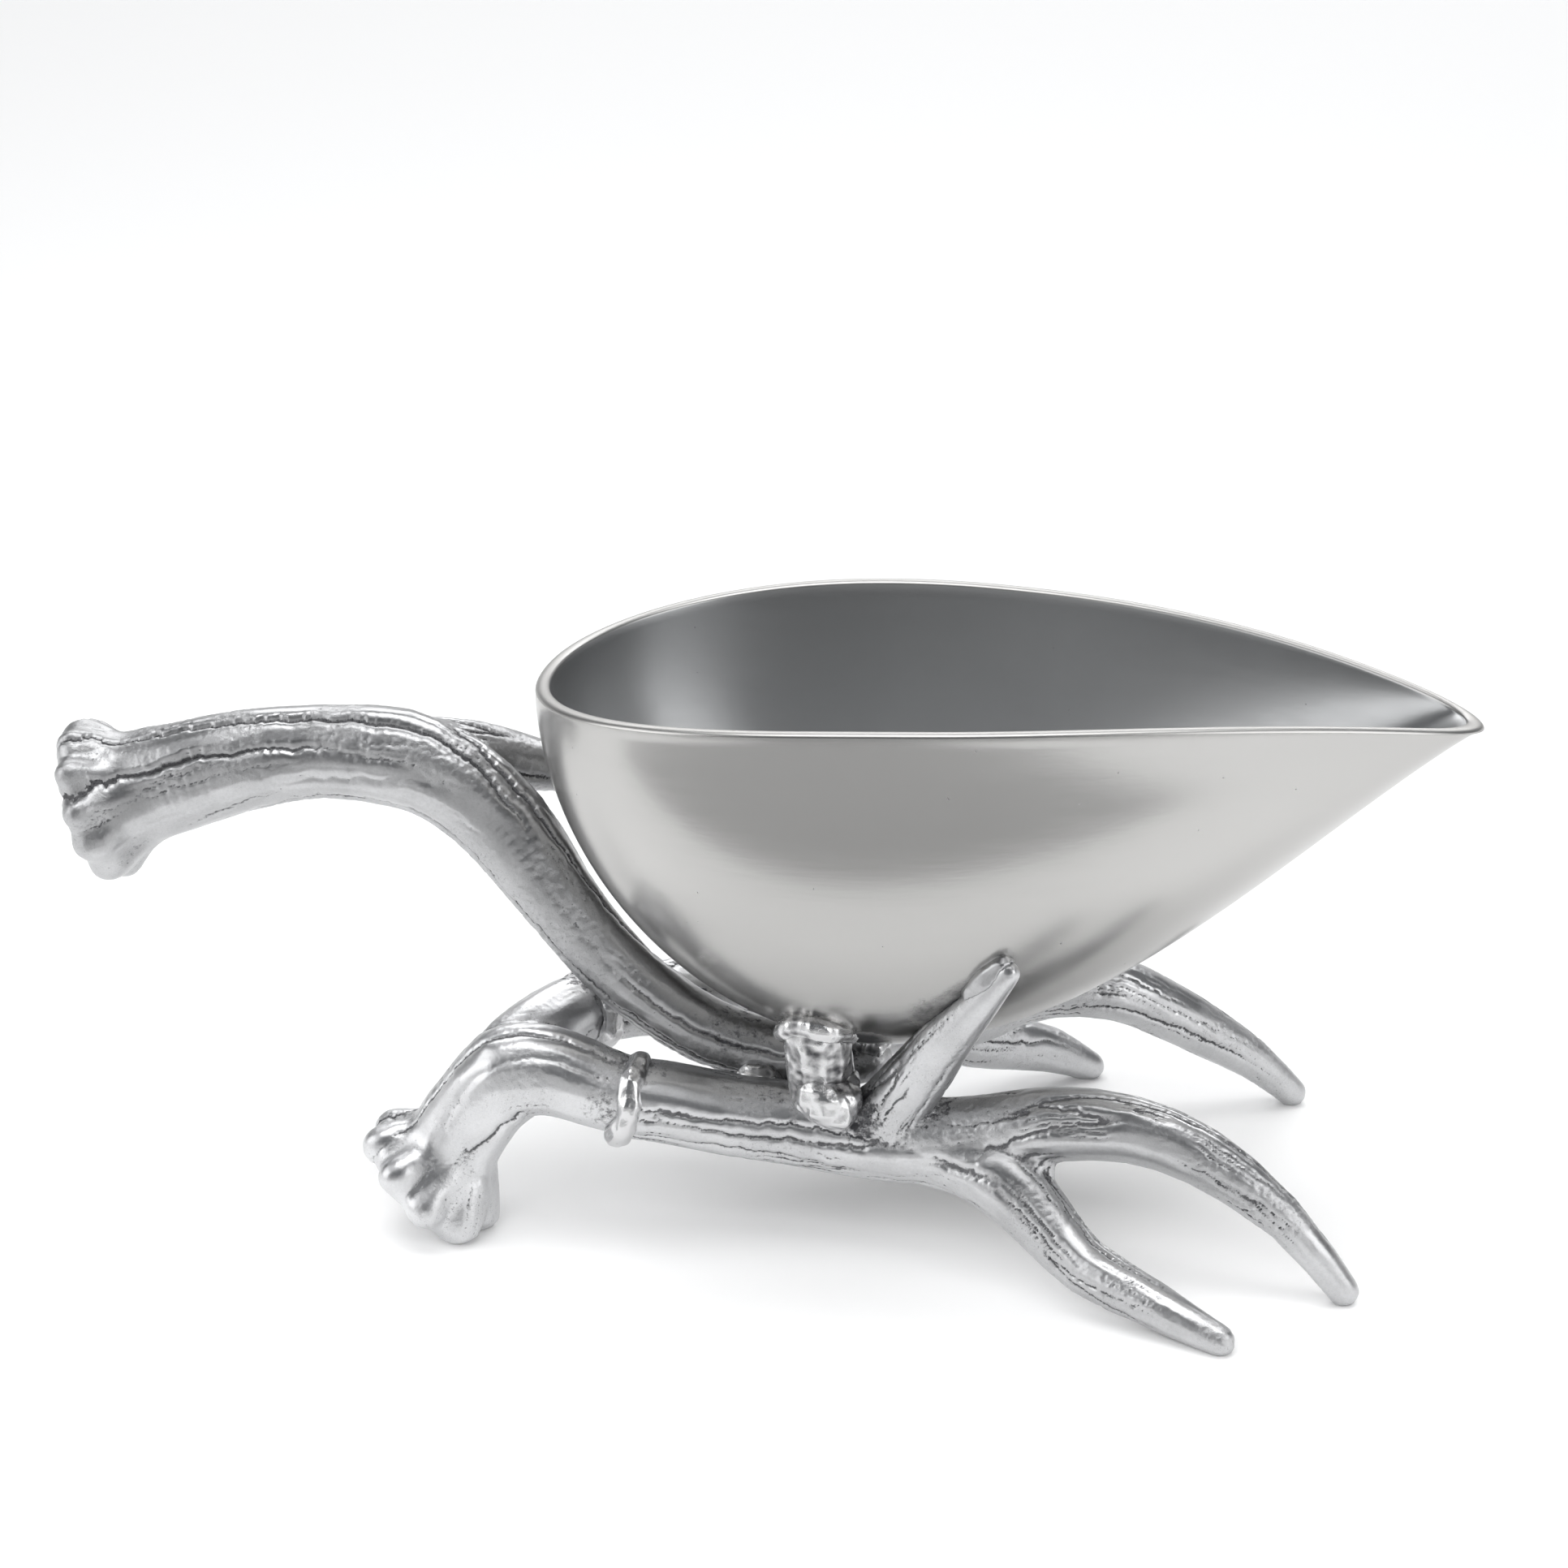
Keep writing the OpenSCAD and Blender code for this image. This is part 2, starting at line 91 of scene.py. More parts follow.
class BowlSizes(bpy.types.PropertyGroup):
    length: length("Length", "From the back of the bowl to the tip of the spout",
                   BOWL_HIGH.x - BOWL_LOW.x)
    width: length("Width", "Across the rim", BOWL_HIGH.y - BOWL_LOW.y)
    depth: length("Depth", "From the highest part of the rim to the underside",
                  BOWL_HIGH.z - BOWL_LOW.z)
    wall: length("Wall", "Thickness of the cast wall", 3 * MM)
    spout_wall: length("Spout wall", "Thickness at the tip of the spout", 3.6 * MM)
    lip: length("Lip", "Height of the rounding over the rim", 0.9 * MM)
    spout_dip: length("Spout dip", "How far the rim dips at the spout", 9.3 * MM)
    back_dip: length("Back dip", "How far the rim dips at the back", 7.4 * MM)
    around: IntProperty(name="Around", description="Faces around the rim", default=288, min=48)
    down: IntProperty(name="Down", description="Faces from the lip to the keel", default=40, min=8)


class AntlerSizes(bpy.types.PropertyGroup):
    voxel: length("Voxel", "Grid that the castings are remeshed on", 0.45 * MM, min=0.2 * MM)
    rounding: IntProperty(name="Rounding", description="Smoothing passes over a casting",
                          default=34, min=0)
    furrow_depth: length("Furrow depth", "Depth of the main furrows in the bark", 0.95 * MM)
    crease_depth: length("Crease depth", "Depth of the fine creases between furrows", 0.4 * MM)
    furrow_length: length("Furrow length", "Distance over which a furrow wanders", 75 * MM)
    swell: length("Swell", "Height of the slow swells along a limb", 0.8 * MM)
    pit_depth: length("Pit depth", "Depth of the casting pits beside furrows", 0.22 * MM)
    knob_height: length("Knob height", "Height of the knobs round the burrs", 0.9 * MM)
    weld_voxel: length("Weld voxel", "Grid that the welds are remeshed on", 0.25 * MM, min=0.1 * MM)


class Finishes(bpy.types.PropertyGroup):
    bowl: colour("Bowl", "Satin aluminium outside the bowl", (0.49, 0.485, 0.475))
    inside: colour("Inside", "Brushed aluminium inside the bowl", (0.40, 0.405, 0.41))
    antler: colour("Antler", "Polished ridges of the castings", (0.67, 0.673, 0.682))
    # The patina colour is also the colour of the painted shade where parts meet.
    patina_and_shade: colour("Patina", "Dark wash left in the recesses", (0.05, 0.05, 0.055))
    weld: colour("Weld", "Filler metal", (0.68, 0.68, 0.685))
    bowl_roughness: share("Bowl roughness", "Outside of the bowl", 0.24)
    inside_roughness: share("Inside roughness", "Inside of the bowl", 0.36)
    antler_roughness: share("Antler roughness", "Polished ridges", 0.30)


class StudioSizes(bpy.types.PropertyGroup):
    floor: colour("Floor", "Colour of the floor", (0.95, 0.95, 0.95))
    azimuth: angle("Azimuth", "Where the camera stands round the object", 9)
    elevation: angle("Elevation", "How high the camera looks down from", 19.3)
    distance: length("Distance", "From the camera to what it looks at", 0.887)
    target: FloatVectorProperty(name="Target", description="What the camera looks at",
                                default=(0.00675, -0.01205, 0.094), size=3,
                                subtype="TRANSLATION", unit="LENGTH")
    lens: FloatProperty(name="Lens", description="Focal length in millimetres", default=100)


# ---- The bowl's curves ----

class BowlCurves:
    """Where the bowl's skins lie: inset 0 is the outer skin and 1 the inner one."""

    plan_back, keel_back, section, plan_spout, keel_spout = 2.15, 1.8, 2.05, 0.9, 1.07
    back_fall, spout_fall = 2, 2.7
    overshoot, tip_rounding = 8 * MM, 60

    def __init__(self, sizes):
        self.s = sizes
        self.back, self.middle = BOWL_LOW.x, (BOWL_LOW.y + BOWL_HIGH.y) / 2
        self.crest = self.back + 0.45 * sizes.length
        self.widest = self.back + 0.33 * sizes.length
        self.deepest = self.back + 0.37 * sizes.length

    def ends(self, inset):
        """The x of the back and of the tip."""
        return (self.back + inset * self.s.wall,
                self.back + self.s.length - inset * self.s.spout_wall)

    def half_width(self, x, inset):
        """Half of the outline's width at x."""
        back, tip = self.ends(inset)
        run = min(max((x - back) / (tip - back), 0), 1)
        half = (self.s.width / 2 - inset * self.s.wall) * math.sqrt(1 - run ** self.tip_rounding)
        if x < self.widest:
            short = min((self.widest - x) / (self.widest - back), 1)
            return half * (1 - short ** self.plan_back) ** (1 / self.plan_back)
        turn = math.pi / 2 * (x - self.widest) / (tip + self.overshoot - self.widest)
        return half * math.cos(turn) ** self.plan_spout

    def rim(self, x):
        """Height of the rim at x."""
        if x < self.crest:
            run = (self.crest - x) / (self.crest - self.back)
            return BOWL_HIGH.z - self.s.back_dip * run ** self.back_fall
        run = (x - self.crest) / (self.back + self.s.length - self.crest)
        return BOWL_HIGH.z - self.s.spout_dip * run ** self.spout_fall

    def depth(self, x, y, inset):
        """How far the skin hangs below the rim."""
        back, tip = self.ends(inset)
        half = self.half_width(x, inset)
        if x < self.deepest:
            short = min((self.deepest - x) / (self.deepest - back), 1)
            keel = (1 - short ** self.keel_back) ** (1 / self.keel_back)
        else:
            turn = math.pi / 2 * (x - self.deepest) / (tip - self.deepest)
            keel = max(math.cos(turn), 0) ** self.keel_spout
        across = min(abs(y) / max(half, 1e-9), 1)
        hang = (1 - across ** self.section) ** (1 / self.section)
        return (self.s.depth - inset * self.s.wall) * keel * hang

    def outline(self, turn, inset):
        """A point of the outline: turn runs once round the rim from the back."""
        side = 1 if turn < 0.5 else -1
        run = 2 * turn if turn < 0.5 else 2 - 2 * turn
        back, tip = self.ends(inset)
        x = back + (tip - back) * (1 - math.cos(math.pi * run)) / 2
        return x, -side * self.half_width(x, inset)

    def skin(self, turn, down, inset):
        """A point of a skin: down runs from the lip to the keel."""
        x, y = self.outline(turn, inset)
        closing = max(math.cos(math.pi / 2 * down), 0) ** (2 / self.section)
        spine = self.crest + 0.5 * (x - self.crest)
        x, y = spine + (x - spine) * closing, y * closing
        hang = max(self.depth(x, y, inset), 0)
        hang = (hang ** 3 + self.s.lip ** 3) ** (1 / 3) if down < 1 else hang
        return Vector((x, self.middle + y, self.rim(x) - hang))

    def lip(self, turn, over):
        """A point over the lip: over runs from the outer skin to the inner one."""
        a, b = self.skin(turn, 0, 0), self.skin(turn, 0, 1)
        p = a.lerp(b, (1 - math.cos(math.pi * over)) / 2)
        p.z += self.s.lip * math.sin(math.pi * over)
        return p


# ---- The castings' limbs ----

# Each limb is points (x, y, z, radius) in millimetres from the bowl's centre plane and the table.
LIMBS = {
    "handle_antler": [
        [(-146.5, 0, 82.5, 12.4), (-139, 0, 84.8, 12), (-130, 0, 87.6, 11.6), (-113, 0, 93, 10.3),
         (-96, 0, 96, 9.8), (-79, -1, 95.4, 10.2), (-68, -3, 92, 10), (-57.5, -4, 83.2, 9.2),
         (-47.5, -5, 70, 8.2), (-37.5, -5, 57.4, 7.6), (-27.5, -5, 48, 7.2), (-16, -5, 40.8, 6.9),
         (-4, -5, 37.2, 6.6), (9, -5, 35.8, 6), (19, -5, 36.6, 4.6)],
        [(-86, 0, 96, 8), (-73, 5, 95.5, 7.2), (-63, 12, 92.5, 6.2), (-55, 18.5, 89, 5.4),
         (-47.5, 23.5, 86.8, 4.8), (-40.8, 25.9, 85.6, 4.4)]],
    "heel_burr": [
        [(-70, -20, 12, 11.4), (-66.5, -20, 18.5, 10), (-61, -20.5, 27.5, 9.6),
         (-53.5, -21, 35.6, 9.9), (-45, -21, 36.3, 9.3), (-36, -21, 33.5, 8.6),
         (-27, -20, 30.6, 8.3)],
        [(-56, -20, 35.5, 8.4), (-51, -9, 38.8, 7.9), (-45, 2, 40, 7.6), (-38, 10, 39.5, 7.4)]],
    "front_antler": [
        [(-31, -20.8, 31.8, 8.3), (-21.6, -19, 30.2, 8.4), (-8, -18, 27.8, 8.4),
         (5, -17, 26.3, 8.6), (18.5, -17, 25, 9), (32, -18, 25, 9), (45.5, -20, 27.6, 8.2),
         (58.8, -22, 32, 7.6), (73.7, -24, 32.8, 6.9), (88.6, -26, 28.8, 5.8),
         (105.3, -28, 18, 4.4), (118, -28.5, 2.6, 3.2)],
        [(34, -18, 24, 8.4), (47, -23.5, 21.5, 8), (58, -31, 14.2, 6.6), (67, -38.5, 8.8, 5.4),
         (81.6, -47, 5.6, 4.6), (95, -54.5, 2.6, 3.2)],
        [(12, -17, 25, 7), (21.8, -18, 28.5, 7.4), (28, -21.5, 37, 6.8), (37, -28.5, 51.5, 5.2),
         (44.5, -33.5, 62, 3.8), (50.5, -37.5, 70.5, 2.4)]],
    "rear_antler": [
        [(-47, 0, 40, 7.5), (-34, 14, 39, 7.8), (-20, 25, 36, 8.3), (-4, 33, 32, 8.4),
         (12, 38.5, 29, 8.6), (26, 43, 28, 9), (38, 46, 31, 7.8), (51, 49.5, 33.8, 7.4),
         (64.3, 52, 32.5, 7), (74.3, 57, 26.5, 6.2), (84.4, 62, 19.4, 5.4), (94.5, 67, 11.6, 4.4),
         (103, 70.8, 2.6, 3.2)],
        [(26, 43, 27, 8), (32, 55, 18.5, 7), (39.5, 67, 12, 6), (48, 74, 8, 5.2),
         (57.5, 78.6, 2.6, 3.2)],
        [(0, 34.5, 31, 7), (9, 36, 35, 7.2), (15, 37.5, 43, 6.4), (24, 40.8, 56, 5),
         (31, 43, 66, 3.8), (37, 45.4, 75, 2.4)]],
}
# How each casting's bark looks: strength of its flutes, of its fine streaks, flutes around, and
# how bright its metal is painted, partly a painted shade for the darker surroundings some castings
# mirror.
BARK = {"handle_antler": (1.0, 0.6, 1.25, 0), "heel_burr": (0.9, 0.6, 1.4, 1),
        "front_antler": (0.7, 1.0, 1.3, 0.8), "rear_antler": (0.7, 0.9, 1.3, 1)}
# Burrs: the middle of each ring of knobs, how far the knobs reach from it, how tight the knobs are
# across and up (ribs where they are tighter across), and how much of the full height they have.
BURRS = {"handle_antler": (-144.8, 0, 82.5, 24, 150, 150, 1.0),
         "heel_burr": (-71, -20, 10.6, 26, 260, 40, 0.55)}
# Soot and wash left by the welding, with painted shade where the parts meet (x, y, z, reach,
# strength): on the bowl, and on the castings.
BOWL_SOOT_AND_SHADE = [(10.5, -24, 48, 15, 0.95), (19, -22, 47, 10, 0.95), (6.8, 31, 50, 14, 0.9),
             (36, -31, 58, 12, 0.62), (42, -33, 64, 9, 0.62), (29, 42, 64, 10, 0.7),
             (18, -5, 42, 12, 0.8), (-40, 25, 90, 10, 0.8), (-34, -5, 72, 14, 0.5)]
CASTING_SOOT_AND_SHADE = [(-28, -19, 39, 15, 0.62), (-33, -29, 32, 11, 0.5), (-42, 5, 47, 14, 0.6),
                (19, -23, 33, 12, 0.75), (3, -22, 34, 12, 0.5), (6, 42, 38, 13, 0.6),
                (-8, -9, 44, 16, 0.5), (12, -9, 42, 14, 0.65), (34, -21, 34, 10, 0.62)]


def place(point):
    """A limb's millimetres as metres in the part's frame."""
    x, y, z = point[:3]
    return Vector((BOWL_LOW.x + (x + 50) * MM, (BOWL_LOW.y + BOWL_HIGH.y) / 2 + y * MM, z * MM))


class Limb:
    """A smooth line through a limb's points, that gives a place on its surface."""

    def __init__(self, points, number, steps=8):
        rows = [[*place(p), p[3] * MM] for p in points]
        rows = np.array([rows[0], *rows, rows[-1]])
        line = []
        for a, b, c, d in zip(rows, rows[1:], rows[2:], rows[3:]):
            for t in np.arange(steps) / steps:
                line.append((2 * b + (c - a) * t + (2 * a - 5 * b + 4 * c - d) * t * t
                             + (3 * b - a - 3 * c + d) * t ** 3) / 2)
        line.append(rows[-1])
        self.line = np.array(line)
        runs = np.linalg.norm(np.diff(self.line[:, :3], axis=0), axis=1)
        self.run = np.concatenate([[0], np.cumsum(runs)])
        self.way = np.gradient(self.line[:, :3], self.run, axis=0)
        self.number = number

    def locate(self, co):
        """For each point: distance over radius, angle round the limb, distance along, radius."""
        near = np.full(len(co), 1e9)
        foot, way = np.zeros((len(co), 3)), np.zeros((len(co), 3))
        along, radius = np.zeros(len(co)), np.ones(len(co))
        for i in range(len(self.line) - 1):
            a, b = self.line[i], self.line[i + 1]
            d = b[:3] - a[:3]
            t = np.clip((co - a[:3]) @ d / (d @ d), 0, 1)
            here = a[:3] + t[:, None] * d
            r = a[3] + t * (b[3] - a[3])
            gap = np.linalg.norm(co - here, axis=1) - r
            take = gap < near
            near[take] = gap[take]
            foot[take] = here[take]
            way[take] = (self.way[i] + t[:, None] * (self.way[i + 1] - self.way[i]))[take]
            along[take] = (self.run[i] + t * (self.run[i + 1] - self.run[i]))[take]
            radius[take] = r[take]
        way /= np.linalg.norm(way, axis=1)[:, None]
        side = np.array([0.0, 1.0, 0.0]) - way[:, 1:2] * way
        side /= np.linalg.norm(side, axis=1)[:, None]
        up = np.cross(way, side)
        off = co - foot
        turn = np.arctan2((off * up).sum(1), (off * side).sum(1))
        return near, turn, along, radius


def smooth_step(low, high, value):
    t = np.clip((value - low) / (high - low), 0, 1)
    return t * t * (3 - 2 * t)


def bark(turn, along, radius, left, number, sizes, style):
    """The bark at one place: its height in metres, and how deep in a furrow it is from 0 to 1."""
    flute, streak, wave = style[:3]
    ragged = 0.10 * noise.noise(Vector((along * 260, number, turn)))
    ragged += 0.05 * noise.noise(Vector((along * 900, number, turn * 2)))
    twist = turn + 4 * along + number + ragged
    round_size = radius / (9 * MM)
    reach = along / sizes.furrow_length
    ring = Vector((math.cos(twist) * wave, math.sin(twist) * wave, reach + 7.3 * number))
    n = noise.noise(ring)
    furrow = math.exp(-abs(n) / 0.05)
    ridge = min(1, abs(n) / 0.22) ** 0.6
    step = math.copysign(math.exp(-abs(n) / 0.09), n)
    strength = min(1, max(0, noise.noise(ring * 0.7 + Vector((0, 0, 50))) * 2.2 + 0.75))
    fine = Vector((math.cos(twist) * 4.6, math.sin(twist) * 4.6, reach * 2.6 + number))
    dash = max(0, noise.noise(Vector((ring.x * 1.3, ring.y * 1.3, along * 60 + number))) * 2.5)
    crease = math.exp(-abs(noise.noise(fine)) / 0.11) * min(1, dash)
    swell = noise.noise(Vector((math.cos(turn) * 0.8, math.sin(turn) * 0.8, along * 40 + number)))
    fade = min(1, max(0.0, (left - 3 * MM) / (26 * MM)))
    furrow *= strength * fade * flute
    crease *= fade * streak
    height = (swell * sizes.swell * round_size
              + (ridge - 0.7) * sizes.furrow_depth * round_size * fade * flute
              * (0.4 + 0.6 * strength)
              + step * 0.3 * sizes.furrow_depth * fade * strength * flute
              - furrow * sizes.furrow_depth * 0.8 * round_size
              - crease * sizes.crease_depth)
    return height, min(1, furrow + crease)


# ---- Meshes ----

def finish_piece(piece, slot, *nodes):
    """Links a piece to the scene under the root body, and hides the CAD nodes that it stands for.
    """
    bpy.context.scene.collection.objects.link(piece)
    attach(piece, "root")
    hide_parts(*nodes)
    return piece


def store(mesh, name, values):
    """Keeps one number for each point of a mesh."""
    attribute = mesh.attributes.new(name, "FLOAT", "POINT")
    attribute.data.foreach_set("value", np.asarray(values, np.float32))


def points_of(mesh, what="co"):
    flat = np.zeros(len(mesh.vertices) * 3, np.float32)
    mesh.vertices.foreach_get(what, flat)
    return flat.reshape(-1, 3).astype(float)


def merged_copy(node):
    """A CAD node's mesh with its loose triangles joined."""
    bm = bmesh.new()
    bm.from_mesh(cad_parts[node].data)
    bmesh.ops.remove_doubles(bm, verts=bm.verts, dist=0.001 * MM)
    mesh = bpy.data.meshes.new(node + "_merged")
    bm.to_mesh(mesh)
    bm.free()
    return mesh


def cast_mesh(name, node, voxel, passes):
    """A CAD node remeshed on an even grid and rounded, as a casting is."""
    rough = bpy.data.objects.new(name + "_rough", merged_copy(node))
    bpy.context.scene.collection.objects.link(rough)
    grid = rough.modifiers.new("Grid", "REMESH")
    grid.mode, grid.voxel_size, grid.use_smooth_shade = "VOXEL", voxel, True
    if passes:
        soft = rough.modifiers.new("Rounding", "SMOOTH")
        soft.factor, soft.iterations = 0.5, passes
    graph = bpy.context.evaluated_depsgraph_get()
    mesh = bpy.data.meshes.new_from_object(rough.evaluated_get(graph))
    mesh.name = name
    bpy.data.objects.remove(rough)
    return mesh


def neighbour_mean(mesh, values, passes):
    """Values averaged with their neighbours' along the mesh's edges."""
    ends = np.zeros(len(mesh.edges) * 2, np.int32)
    mesh.edges.foreach_get("vertices", ends)
    a, b = ends.reshape(-1, 2).T
    count = np.bincount(a, minlength=len(values)) + np.bincount(b, minlength=len(values))
    count = np.maximum(count, 1)[:, None]
    values = values.copy()
    for _ in range(passes):
        total = np.stack([np.bincount(a, values[b, i], len(values))
                          + np.bincount(b, values[a, i], len(values))
                          for i in range(values.shape[1])], axis=1)
        values = (values + total / count) / 2
    return values


def store_recess(mesh, passes, scale):
    """Keeps how far each point lies below the surface around it, from 0 to 1."""
    co = points_of(mesh)
    inward = ((neighbour_mean(mesh, co, passes) - co) * points_of(mesh, "normal")).sum(1)
    store(mesh, "recess", np.clip(inward / scale, -1, 1))


def set_points(mesh, co):
    """Moves a mesh's points, and keeps them above the table."""
    co[:, 2] = np.maximum(co[:, 2], 0)
    mesh.vertices.foreach_set("co", co.astype(np.float32).ravel())
    mesh.update()


def soot_and_shade_of(co, spots):
    """How sooty and shaded each place is, from 0 to 1: weld soot, and painted shade round the
    places where parts meet.
    """
    soot_and_shade = np.zeros(len(co))
    for *spot, reach, strength in spots:
        gap = np.linalg.norm(co - np.array(place(spot)), axis=1)
        soot_and_shade = np.maximum(soot_and_shade, strength * (1 - smooth_step(0.2 * reach * MM, reach * MM, gap)))
    return soot_and_shade


def number_of(name):
    """A fixed number for a name, so that each piece has its own pattern."""
    return sum(map(ord, name)) % 17


def carve_bark(mesh, node, sizes):
    """Presses the bark's furrows, pits and knobs into a casting."""
    co, normal = points_of(mesh), points_of(mesh, "normal")
    limbs = [Limb(p, 3.1 * i + len(node)) for i, p in enumerate(LIMBS[node])]
    spots = [limb.locate(co) for limb in limbs]
    gaps = np.array([s[0] for s in spots])
    blend = 0.8 * MM
    weights = np.exp(-(gaps - gaps.min(0)) / blend)
    weights /= weights.sum(0)
    height, furrow = np.zeros(len(co)), np.zeros(len(co))
    for limb, (_, turn, along, radius), weight in zip(limbs, spots, weights):
        for i in np.nonzero(weight > 0.03)[0]:
            h, f = bark(turn[i], along[i], radius[i], limb.run[-1] - along[i], limb.number, sizes,
                        BARK[node])
            height[i] += weight[i] * h
            furrow[i] += weight[i] * f
    # Rough patches, and the pits that gather in them and beside the furrows.
    shift = Vector((number_of(node), 0, 0))
    patch = smooth_step(-0.12, 0.3, np.array([noise.noise(Vector(p) * 75 + shift) for p in co]))
    pits = np.array([max(0, noise.noise(Vector(p) * 1050))
                     + 0.6 * max(0, noise.noise(Vector(p) * 520)) for p in co])
    height -= pits * np.clip(patch + 1.5 * furrow, 0, 1.3) * sizes.pit_depth
    if node in BURRS:
        middle, (reach, across, up, tall) = np.array(place(BURRS[node])), BURRS[node][3:]
        reach *= MM
        close = 1 - smooth_step(0.5 * reach, reach, np.linalg.norm(co - middle, axis=1))
        co = co + (neighbour_mean(mesh, co, 60) - co) * np.minimum(1, close * 1.4)[:, None]
        knob = np.array([noise.noise(Vector((x * across, y * across, z * up))) if c > 0 else 0
                         for (x, y, z), c in zip(co, close)])
        height = height * (1 - 0.6 * close) + (0.3 * MM + knob * sizes.knob_height * tall) * close
        patch = np.maximum(patch, close * np.clip(0.6 - knob * 1.6, 0, 1))
    table = smooth_step(0.4 * MM, 2.5 * MM, co[:, 2])
    set_points(mesh, co + normal * (height * table + 0.15 * MM)[:, None])
    store(mesh, "furrow", np.clip(furrow, 0, 1))
    store(mesh, "patch", patch)
    # The metal is darker out along the tines, and each casting is lighter or darker by its bark's
    # brightness, a painted shade.
    tines = smooth_step(place((25, 0, 0)).x, place((70, 0, 0)).x, co[:, 0])
    store(mesh, "tone_and_shade", BARK[node][3] * (1 - 0.6 * tines))
    # Weld soot, and painted shade where the castings meet the bowl and each other.
    store(mesh, "soot_and_shade", soot_and_shade_of(co, CASTING_SOOT_AND_SHADE))
    store_recess(mesh, 16, 0.25 * MM)


# ---- Materials ----

class Flow:
    """A socket's value in a sum. Each operator adds one Math node."""

    def __init__(self, tree, socket):
        self.tree, self.socket = tree, socket

    def math(self, operation, *values, clamp=False):
        node = self.tree.nodes.new("ShaderNodeMath")
        node.operation, node.use_clamp = operation, clamp
        for socket, value in zip(node.inputs, values):
            if isinstance(value, Flow):
                self.tree.links.new(value.socket, socket)
            else:
                socket.default_value = value
        return Flow(self.tree, node.outputs[0])

    def __add__(self, other): return self.math("ADD", self, other)
    def __radd__(self, other): return self.math("ADD", other, self)
    def __sub__(self, other): return self.math("SUBTRACT", self, other)
    def __rsub__(self, other): return self.math("SUBTRACT", other, self)
    def __mul__(self, other): return self.math("MULTIPLY", self, other)
    def __rmul__(self, other): return self.math("MULTIPLY", other, self)
    def __truediv__(self, other): return self.math("DIVIDE", self, other)
    def __pow__(self, other): return self.math("POWER", self, other)
    def clamp(self): return self.math("ADD", self, 0, clamp=True)


class Shader:
    """A node tree that is built one node at a time."""

    def __init__(self, owner):
        owner.use_nodes = True
        self.tree = owner.node_tree
        self.tree.nodes.clear()

    def node(self, kind, settings=None, output=0, **inputs):
        """Adds a node: settings first, then each input by name, as a value or a link."""
        node = self.tree.nodes.new("ShaderNode" + kind)
        for name, value in (settings or {}).items():
            if name == "stops":
                for element, (at, tint) in zip(node.color_ramp.elements, value):
                    element.position, element.color = at, tint
            else:
                setattr(node, name, value)
        for name, value in inputs.items():
            wanted = name.replace("_", " ").lower()
            socket = next(s for s in node.inputs if s.name.lower() == wanted and s.enabled)
            if isinstance(value, Flow):
                self.tree.links.new(value.socket, socket)
            else:
                socket.default_value = value
        return Flow(self.tree, node.outputs[output]) if node.outputs else node

    def attribute(self, name):
        """A number kept on the mesh's points."""
        return self.node("Attribute", {"attribute_name": name}, output="Fac")

    def place(self):
        """Object coordinates."""
        return self.node("TexCoord", output="Object")

    def noise(self, scale, detail=3.0, roughness=0.5, where=None, stretch=None):
        """Noise from 0 to 1, stretched along an axis where that is given."""
        where = where or self.place()
        if stretch:
            where = self.node("Mapping", Vector=where, Scale=stretch)
        return self.node("TexNoise", Vector=where, Scale=scale, Detail=detail, Roughness=roughness)

    def between(self, low, high, value):
        """0 below low, 1 above high and smooth between them."""
        return self.node("MapRange", {"interpolation_type": "SMOOTHSTEP"}, Value=value,
                         From_Min=low, From_Max=high)

    def mix(self, share, a, b):
        """A colour between two others."""
        node = self.tree.nodes.new("ShaderNodeMix")
        node.data_type = "RGBA"
        for socket, value in zip((node.inputs[0], node.inputs[6], node.inputs[7]), (share, a, b)):
            if isinstance(value, Flow):
                self.tree.links.new(value.socket, socket)
            else:
                socket.default_value = value
        return Flow(self.tree, node.outputs[2])

    def end(self, shader, kind="OutputMaterial"):
        self.node(kind, Surface=shader)


def rgba(tint, k=1.0):
    return (tint[0] * k, tint[1] * k, tint[2] * k, 1)


def antler_finish(name, looks):
    """Bright cast metal with dark wash in the bark's furrows and recesses."""
    material = bpy.data.materials.new(name)
    s = Shader(material)
    furrow, recess, patch = s.attribute("furrow"), s.attribute("recess"), s.attribute("patch")
    cloud = s.noise(90, 4, 0.6)
    grain = s.noise(1500, 3, 0.65)
    speck = s.noise(3400, 2, 0.5)
    ragged = s.noise(520, 5, 0.7)
    # Weld soot, and painted shade where the castings meet other parts, with a ragged edge.
    soot_and_shade = s.between(0.42, 0.80, s.attribute("soot_and_shade") + (ragged - 0.5) * 1.7) * s.between(
        0.02, 0.2, s.attribute("soot_and_shade"))
    wash = s.between(0.24, 0.95, furrow * 0.95 + recess * 0.8 + (cloud - 0.5) * 0.5
                     + (grain - 0.5) * 1.5 + patch * 0.10)
    mottle = s.between(0.50, 0.68, grain * 0.6 + speck * 0.4) * (0.15 + patch * 0.7)
    dark = (wash * 0.85 + mottle * 0.42 + soot_and_shade * 0.9).clamp()
    # Random clouds of lighter and darker metal, and each casting's painted shade from its tone.
    shade = s.between(0.3, 0.7, cloud * 0.5 + grain * 0.5) * 0.4 + s.attribute("tone_and_shade") * 0.6
    bright = s.mix(shade, rgba(looks.antler, 0.62), rgba(looks.antler, 1.08))
    tint = s.mix(dark, bright, rgba(looks.patina_and_shade))
    relief = s.node("Bump", Strength=0.4, Distance=0.22 * MM,
                    Height=(grain * 0.7 + speck * 0.3) * (0.4 + patch * 0.9))
    s.end(s.node("BsdfPrincipled", Base_Color=tint, Metallic=1 - dark * 0.5,
                 Roughness=looks.antler_roughness + patch * 0.10 + dark * 0.3 + (grain - 0.5) * 0.1,
                 Normal=relief))
    return material


